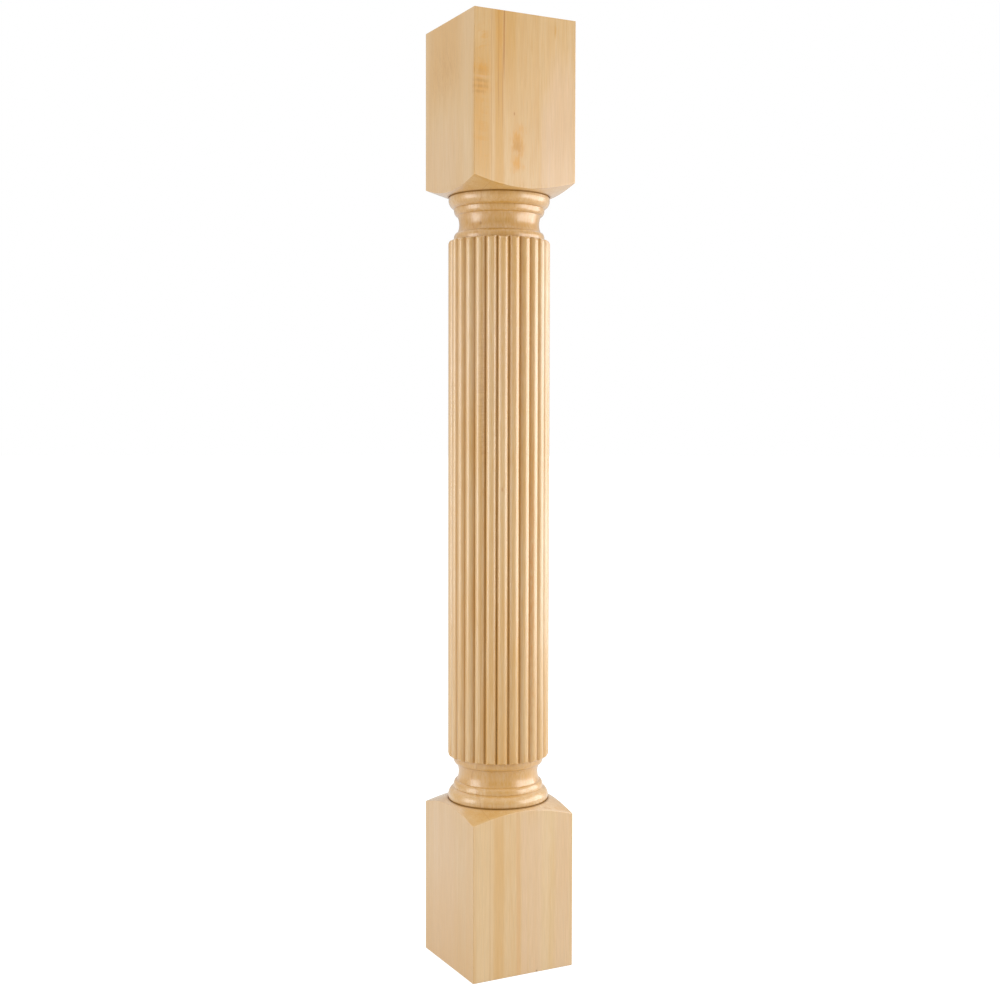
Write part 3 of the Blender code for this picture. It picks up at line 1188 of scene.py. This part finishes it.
@dataclass
class Post:
    """The whole post: two blocks, their shoulders and mouldings, and the reeded shaft.

    Attributes:
        bar: The square bar.
        shaft: The reeded shaft.
        moulding: The moulding at either end of the shaft.
        foot_block: Length of the foot block, up the middle of a face.
        head_block: Length of the head block, down the middle of a face.
        shoulder_angle: Slope of the shoulders.
        quirk_width: Width of the groove round the root of each torus.
        quirk_depth: Depth of that groove.
        finish: Finish of the turned and planed surfaces.
        end_finish: Finish of the sawn ends.
        end_rows: Where rows of the mesh cross a sawn end, as shares of the way to its side.
        block_rows: Where rows cross a block's side, as shares of its length.
        shoulder_rows: Where rows cross a shoulder, as shares of its slope.
        least_turn: Angle that a reed's column of the mesh keeps from a corner's.
        sharp_angle: Turn between two faces from which their edge is shaded sharp.
        end_tolerance: How far the middle of a face in a sawn end may lie off that end.
    """

    bar: SquareBar
    shaft: ReededShaft
    moulding: EndMoulding = field(default_factory=EndMoulding)
    foot_block: float = 186.2
    head_block: float = 190.6
    shoulder_angle: float = math.radians(21.3)
    quirk_width: float = 1.7
    quirk_depth: float = 2.6
    finish: LacqueredMaple = field(default_factory=LacqueredMaple)
    end_finish: SawnEndGrain = field(default_factory=SawnEndGrain)
    end_rows: tuple[float, ...] = (0.3, 0.6, 0.85)
    block_rows: tuple[float, ...] = (0.25, 0.5, 0.75)
    shoulder_rows: tuple[float, ...] = (0.06, 0.3, 0.6, 0.9)
    least_turn: float = math.radians(0.1)
    sharp_angle: float = math.radians(40.0)
    end_tolerance: float = 0.01

    def shoulder_distance(self, block: float, radius: float) -> float:
        """Return how far a block's shoulder lies from its end of the post at a radius."""
        return block + (self.bar.width / 2 - radius) * math.tan(self.shoulder_angle)

    @property
    def root_radius(self) -> float:
        """Radius of each torus at its root."""
        return self.bar.width / 2 - self.moulding.root_inset

    def root_distance(self, block: float) -> float:
        """Return how far the bottom of a block's quirk lies from its end of the post."""
        return self.shoulder_distance(block, self.root_radius) - self.quirk_depth

    def end_outline(self, block: float, angle: float) -> list[Point]:
        """Draw one end of the post in one direction, from its middle to the reeds.

        Args:
            block: Length of the block at this end.
            angle: Direction round the axis.

        Returns:
            The outline as radius and distance from the post's end, without its first point
            on the axis.
        """
        side = self.bar.reach(angle)
        edge = self.shoulder_distance(block, side)
        lip = self.root_radius + self.quirk_width
        root = self.root_distance(block)
        inset = 2 * self.bar.end_ease
        knots = [Knot(side * share, 0.0) for share in self.end_rows]
        knots += [Knot(side - inset, 0.0), Knot(side, 0.0, self.bar.end_ease), Knot(side, inset)]
        knots += [Knot(side, edge * share) for share in self.block_rows]
        knots.append(Knot(side, edge - 2 * self.bar.shoulder_ease))
        knots.append(Knot(side, edge, self.bar.shoulder_ease))
        for share in self.shoulder_rows:
            radius = side + (lip - side) * share
            knots.append(Knot(radius, self.shoulder_distance(block, radius)))
        knots.append(Knot(lip, self.shoulder_distance(block, lip), self.moulding.edge_ease))
        outer = self.moulding.fillet_radius(self.shaft)
        turned = self.moulding.knots(self.root_radius, outer)
        turned += self.shaft.end_knots(angle, outer, self.moulding.height)
        knots += [Knot(knot.radius, root + knot.distance, knot.ease) for knot in turned]
        return eased_outline(knots)

    def outline(self, angle: float) -> list[Point]:
        """Draw the post's outline in one direction.

        Args:
            angle: Direction round the axis.

        Returns:
            The outline from foot to head, as radius and height.
        """
        foot = self.end_outline(self.foot_block, angle)
        head = [(radius, self.bar.height - distance)
                for radius, distance in self.end_outline(self.head_block, angle)]
        low = foot[-1][1]
        high = head[-1][1]
        radius = self.shaft.radius(angle)
        shaft = [(radius, low + (high - low) * row / self.shaft.rows)
                 for row in range(1, self.shaft.rows)]
        return foot + shaft + head[::-1]

    def directions(self) -> list[float]:
        """Find the directions of the mesh's columns: the reeds' and the bar's corners'.

        Returns:
            The directions in order, from 0 to a full turn.
        """
        corners = self.bar.corner_angles()
        reeds = [angle for angle in self.shaft.angles()
                 if all(abs((angle - corner + math.pi) % math.tau - math.pi) > self.least_turn
                        for corner in corners)]
        return sorted(angle % math.tau for angle in corners + reeds)

    def build(self) -> bpy.types.Object:
        """Make the post's mesh.

        Returns:
            The post, as an object in the scene.
        """
        vertices = [(0.0, 0.0, 0.0), (0.0, 0.0, self.bar.height * MM)]
        columns = []
        for angle in self.directions():
            outline = self.outline(angle)
            columns.append(range(len(vertices), len(vertices) + len(outline)))
            vertices += [(radius * math.cos(angle) * MM, radius * math.sin(angle) * MM, height * MM)
                         for radius, height in outline]
        faces = []
        for left, right in zip(columns, columns[1:] + columns[:1]):
            faces.append((0, right[0], left[0]))
            faces += [(left[row], right[row], right[row + 1], left[row + 1])
                      for row in range(len(left) - 1)]
            faces.append((1, left[-1], right[-1]))
        mesh = bpy.data.meshes.new("post_surface")
        mesh.from_pydata(vertices, [], faces)
        mesh.validate()
        mesh.shade_smooth()
        mesh.set_sharp_from_angle(angle=self.sharp_angle)
        post = bpy.data.objects.new("post_surface", mesh)
        bpy.context.scene.collection.objects.link(post)
        even = post.modifiers.new("even shading", "WEIGHTED_NORMAL")
        even.keep_sharp = True
        return post

    def dress(self, post: bpy.types.Object) -> None:
        """Give the post its finishes, the end grain on the sawn ends.

        Args:
            post: The post that build made.
        """
        foot = self.root_distance(self.foot_block)
        head = self.bar.height - self.root_distance(self.head_block)
        finish = replace(self.finish, half_width=self.bar.width / 2,
                         grooves=((self.root_radius, foot), (self.root_radius, head)))
        post.data.materials.append(finish.material())
        post.data.materials.append(self.end_finish.material())
        for face in post.data.polygons:
            height = face.center.z / MM
            is_sawn = min(height, self.bar.height - height) < self.end_tolerance
            face.material_index = 1 if is_sawn else 0


@dataclass
class Softbox:
    """A soft studio lamp that faces the post.

    Attributes:
        name: Name of the lamp.
        turn: Direction from the post, in degrees from the camera's, positive to its right.
        distance: Distance from the post in metres.
        height: Height of its middle in metres.
        width: Width of its face in metres.
        length: Height of its face in metres.
        power: Power in watts.
    """

    name: str
    turn: float
    distance: float
    height: float
    width: float
    length: float
    power: float

    def build(self, camera_turn: float, target: Vector) -> None:
        """Make the lamp and aim it at the post.

        Args:
            camera_turn: Direction of the camera from the post, in radians.
            target: The point that the lamp faces.
        """
        lamp = bpy.data.lights.new(self.name, "AREA")
        lamp.shape = "RECTANGLE"
        lamp.size = self.width
        lamp.size_y = self.length
        lamp.energy = self.power
        item = bpy.data.objects.new(self.name, lamp)
        direction = camera_turn + math.radians(self.turn)
        item.location = (self.distance * math.cos(direction), self.distance * math.sin(direction),
                         self.height)
        item.rotation_euler = (target - item.location).to_track_quat("-Z", "Y").to_euler()
        bpy.context.scene.collection.objects.link(item)


@dataclass
class Studio:
    """Pale floor, white surroundings, soft lamps and the camera.

    Attributes:
        camera_turn: Turn of the camera's view from +Y, in degrees.
        camera_distance: Distance from the post's axis to the camera in metres.
        camera_side: Sideways place of the camera off the line to the axis, in metres.
        camera_height: Height of the camera in metres.
        camera_tilt: Upward tilt of the view, in degrees.
        camera_roll: Roll of the view, in degrees.
        focal_pixels: Focal length in pixels of the square picture.
        horizon_row: Row of the picture that the lens axis meets, in pixels.
        sensor: Width of the sensor in millimetres.
        front_light: Brightness of the surroundings on the camera's side.
        back_light: Brightness of the surroundings behind the post.
        back_range: Where they grow from one to the other, as the cosine of the angle from
            the point behind the post.
        top_light: Brightness that the surroundings gain overhead.
        top_range: Where they gain it, as the sine of the angle above the horizon.
        floor_radius: Radius of the floor in metres.
        floor_sides: Number of the floor's sides.
        floor_drop: How far the floor lies below the post's foot in metres, which keeps the two
            surfaces apart.
        floor_paint: Colour of its paint, a grey that the glow lifts to white.
        floor_roughness: Roughness of the matt paint.
        floor_glow: Light that the floor throws up at the post by itself.
        floor_white: Brightness that keeps the floor white in the picture.
        softboxes: The lamps.
    """

    camera_turn: float = 27.388
    camera_distance: float = 1.6574
    camera_side: float = 0.0016
    camera_height: float = 0.6172
    camera_tilt: float = -2.239
    camera_roll: float = 0.12
    focal_pixels: float = 1437.3
    horizon_row: float = 484.0
    sensor: float = 36.0
    front_light: float = 0.34
    back_light: float = 0.58
    back_range: Span = (-0.4, 0.7)
    top_light: float = 0.85
    top_range: Span = (0.2, 0.9)
    floor_radius: float = 30.0
    floor_sides: int = 96
    floor_drop: float = 0.0002
    floor_paint: str = "8C8C8C"
    floor_roughness: float = 0.9
    floor_glow: float = 0.52
    floor_white: float = 0.92
    softboxes: tuple[Softbox, ...] = (
        Softbox("softbox_left", -68.0, 1.7, 0.66, 0.9, 1.12, 9.2),
        Softbox("fill_left", -62.0, 1.8, 0.76, 2.6, 1.46, 5.5),
        Softbox("softbox_right", 88.0, 1.7, 0.66, 2.2, 1.12, 25.0),
        Softbox("fill_right", 56.0, 1.8, 0.76, 0.9, 1.46, 3.5),
    )

    def build(self) -> None:
        """Make the floor, the surroundings, the lamps and the camera."""
        self._floor()
        self._surroundings()
        towards_camera = -math.pi / 2 - math.radians(self.camera_turn)
        for softbox in self.softboxes:
            softbox.build(towards_camera, Vector((0.0, 0.0, softbox.height)))
        self._camera()
        bpy.context.scene.view_settings.view_transform = "Standard"

    def _floor(self) -> None:
        """Lay the floor: white to the camera, and a soft light from below to the post."""
        bpy.ops.mesh.primitive_circle_add(vertices=self.floor_sides, radius=self.floor_radius,
                                          fill_type="NGON", location=(0.0, 0.0, -self.floor_drop))
        floor = bpy.context.object
        floor.name = "floor"
        material = blank_material("white_floor_paint")
        tree = material.node_tree
        path = add_node(tree, "ShaderNodeLightPath")
        glow = add_node(tree, "ShaderNodeMapRange", inputs={
            "Value": path.outputs["Is Camera Ray"], "To Min": self.floor_glow,
            "To Max": self.floor_white})
        shader = add_node(tree, "ShaderNodeBsdfPrincipled", inputs={
            "Base Color": linear_colour(self.floor_paint), "Roughness": self.floor_roughness,
            "Specular IOR Level": 0.0, "Emission Color": WHITE, "Emission Strength": glow})
        add_node(tree, "ShaderNodeOutputMaterial", inputs={"Surface": shader})
        floor.data.materials.append(material)

    def _surroundings(self) -> None:
        """Surround the post with white, which lights it most from behind and from above."""
        world = bpy.data.worlds.new("white_surroundings")
        world.use_nodes = True
        tree = world.node_tree
        tree.nodes.clear()
        source = add_node(tree, "ShaderNodeTexCoord")
        turn = math.radians(self.camera_turn)
        behind = add_node(tree, "ShaderNodeVectorMath", {"operation": "DOT_PRODUCT"}, {
            0: source.outputs["Generated"], 1: (math.sin(turn), math.cos(turn), 0.0)})
        level = add_node(tree, "ShaderNodeMapRange", {"interpolation_type": "SMOOTHSTEP"}, {
            "Value": behind, "From Min": self.back_range[0], "From Max": self.back_range[1],
            "To Min": self.front_light, "To Max": self.back_light})
        axes = add_node(tree, "ShaderNodeSeparateXYZ", inputs={
            "Vector": source.outputs["Generated"]})
        above = add_node(tree, "ShaderNodeMapRange", {"interpolation_type": "SMOOTHSTEP"}, {
            "Value": axes.outputs["Z"], "From Min": self.top_range[0],
            "From Max": self.top_range[1], "To Max": self.top_light})
        strength = add_node(tree, "ShaderNodeMath", {"operation": "ADD"}, {0: level, 1: above})
        lit = add_node(tree, "ShaderNodeBackground", inputs={"Color": WHITE, "Strength": strength})
        seen = add_node(tree, "ShaderNodeBackground", inputs={"Color": WHITE, "Strength": 1.0})
        path = add_node(tree, "ShaderNodeLightPath")
        either = add_node(tree, "ShaderNodeMixShader", inputs={
            0: path.outputs["Is Camera Ray"], 1: lit, 2: seen})
        add_node(tree, "ShaderNodeOutputWorld", inputs={"Surface": either})
        bpy.context.scene.world = world

    def _camera(self) -> None:
        """Place the camera at the photograph's viewing angle."""
        turn = math.radians(self.camera_turn)
        ahead = Vector((math.sin(turn), math.cos(turn), 0.0))
        right = Vector((math.cos(turn), -math.sin(turn), 0.0))
        data = bpy.data.cameras.new("camera")
        data.sensor_width = self.sensor
        data.lens = self.focal_pixels / IMAGE_SIZE * self.sensor
        data.shift_y = (self.horizon_row - IMAGE_SIZE / 2) / IMAGE_SIZE
        camera = bpy.data.objects.new("camera", data)
        place = right * self.camera_side - ahead * self.camera_distance
        place.z = self.camera_height
        level = Matrix.Rotation(-turn, 4, "Z") @ Matrix.Rotation(math.pi / 2, 4, "X")
        tilt = Matrix.Rotation(math.radians(self.camera_tilt), 4, "X")
        roll = Matrix.Rotation(math.radians(self.camera_roll), 4, "Z")
        camera.matrix_world = Matrix.Translation(place) @ level @ tilt @ roll
        bpy.context.scene.collection.objects.link(camera)
        bpy.context.scene.camera = camera


def main() -> None:
    """Build the post and the studio, and report each piece."""
    logging.basicConfig(level=logging.INFO, format="%(name)s: %(message)s")
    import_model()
    low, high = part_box("post")
    width = (high.x - low.x) / MM
    bar = SquareBar(width=width, height=(high.z - low.z) / MM)
    post = Post(bar=bar, shaft=ReededShaft(crest=width / 2 - CREST_INSET))
    surface = post.build()
    post.dress(surface)
    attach(surface, "root")
    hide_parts("post")
    log.info("%s: %d faces", surface.name, len(surface.data.polygons))
    Studio().build()
    log.info("studio: floor, surroundings, lamps and camera")


if __name__ == "__main__":
    main()
